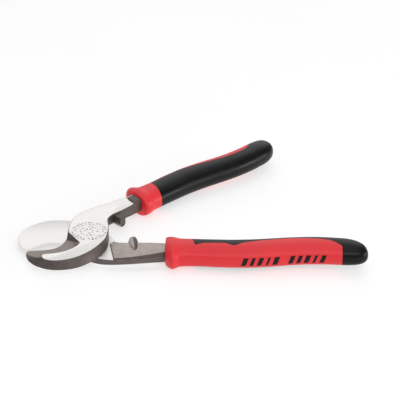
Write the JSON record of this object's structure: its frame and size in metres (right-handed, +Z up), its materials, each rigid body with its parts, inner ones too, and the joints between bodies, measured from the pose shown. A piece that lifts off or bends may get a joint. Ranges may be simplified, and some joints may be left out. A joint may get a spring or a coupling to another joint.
{
  "type": "high-leverage cable cutter",
  "caption": "Hand cable cutter with hooked bypass jaws on a flush rivet and long two-colour grips, lying open.",
  "frame": {"origin": "centre of the rivet's flat underside, flush with the lower ground face", "axes": "+Z up along the rivet, +X from the rivet towards the handles along the line that halves the opening, +Y towards the upper lever's handle"},
  "size_m": [0.2237, 0.1868, 0.0181],
  "materials": {
    "forged_steel": "dark forged sides, bright ground faces",
    "rivet_steel": "ground flush",
    "hard_red_plastic": "satin",
    "soft_black_plastic": "soft satin"
  },
  "bodies": {
    "lower_half": {"lower_lever": "forged_steel", "pivot_rivet": "rivet_steel", "lower_grip_core": "hard_red_plastic", "lower_grip_cover": "soft_black_plastic"},
    "upper_half": {"upper_lever": "forged_steel", "upper_grip_core": "hard_red_plastic", "upper_grip_cover": "soft_black_plastic"}
  },
  "joints": [
    {"name": "jaw_pivot", "type": "hinge", "parent": "lower_half", "child": "upper_half", "pos_m": [0, 0, 0.00635], "axis": [0, 0, 1], "range_deg": [-44, 8]}
  ]
}
